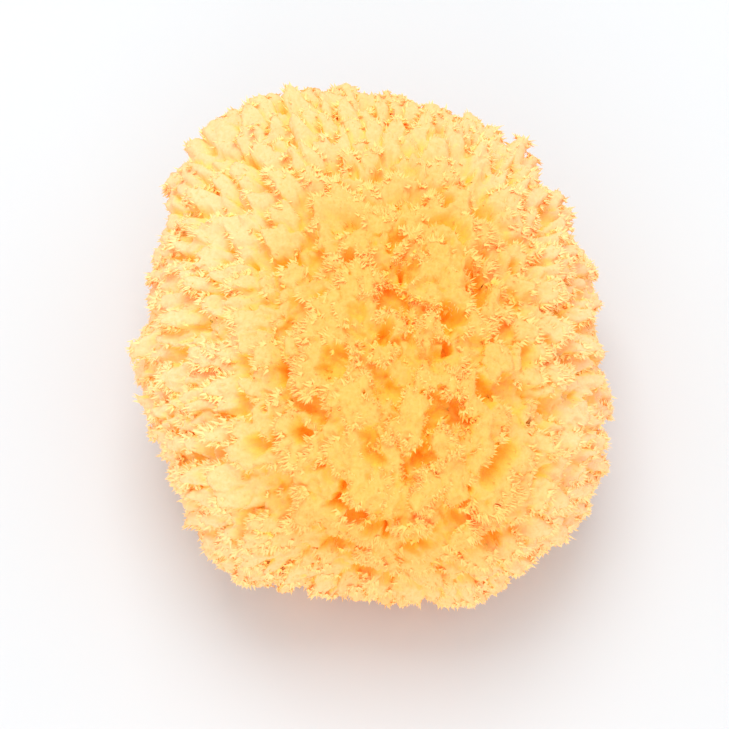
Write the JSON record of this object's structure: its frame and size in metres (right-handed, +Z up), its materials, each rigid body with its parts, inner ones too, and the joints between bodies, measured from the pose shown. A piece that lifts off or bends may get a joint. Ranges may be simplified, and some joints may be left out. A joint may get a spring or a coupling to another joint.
{
  "type": "sea sponge",
  "caption": "Dried natural sea sponge of bath size: a low, lopsided dome of soft fibrous tufts and canal hollows, cut off flat underneath so that it rests on the cut.",
  "frame": {"origin": "on the flat cut that the sponge rests on, at the middle of its box seen from above", "axes": "+Z up from the cut through the top of the dome, +Y along the sponge's length towards its broader end, +X across it to the right"},
  "size_m": [0.1336, 0.1521, 0.088],
  "materials": {
    "sponge": "dry, matt golden-yellow spongin fibre, paler at the tips of the tufts and orange in the hollows"
  },
  "bodies": {
    "root": {"sponge": "sponge"}
  },
  "joints": []
}
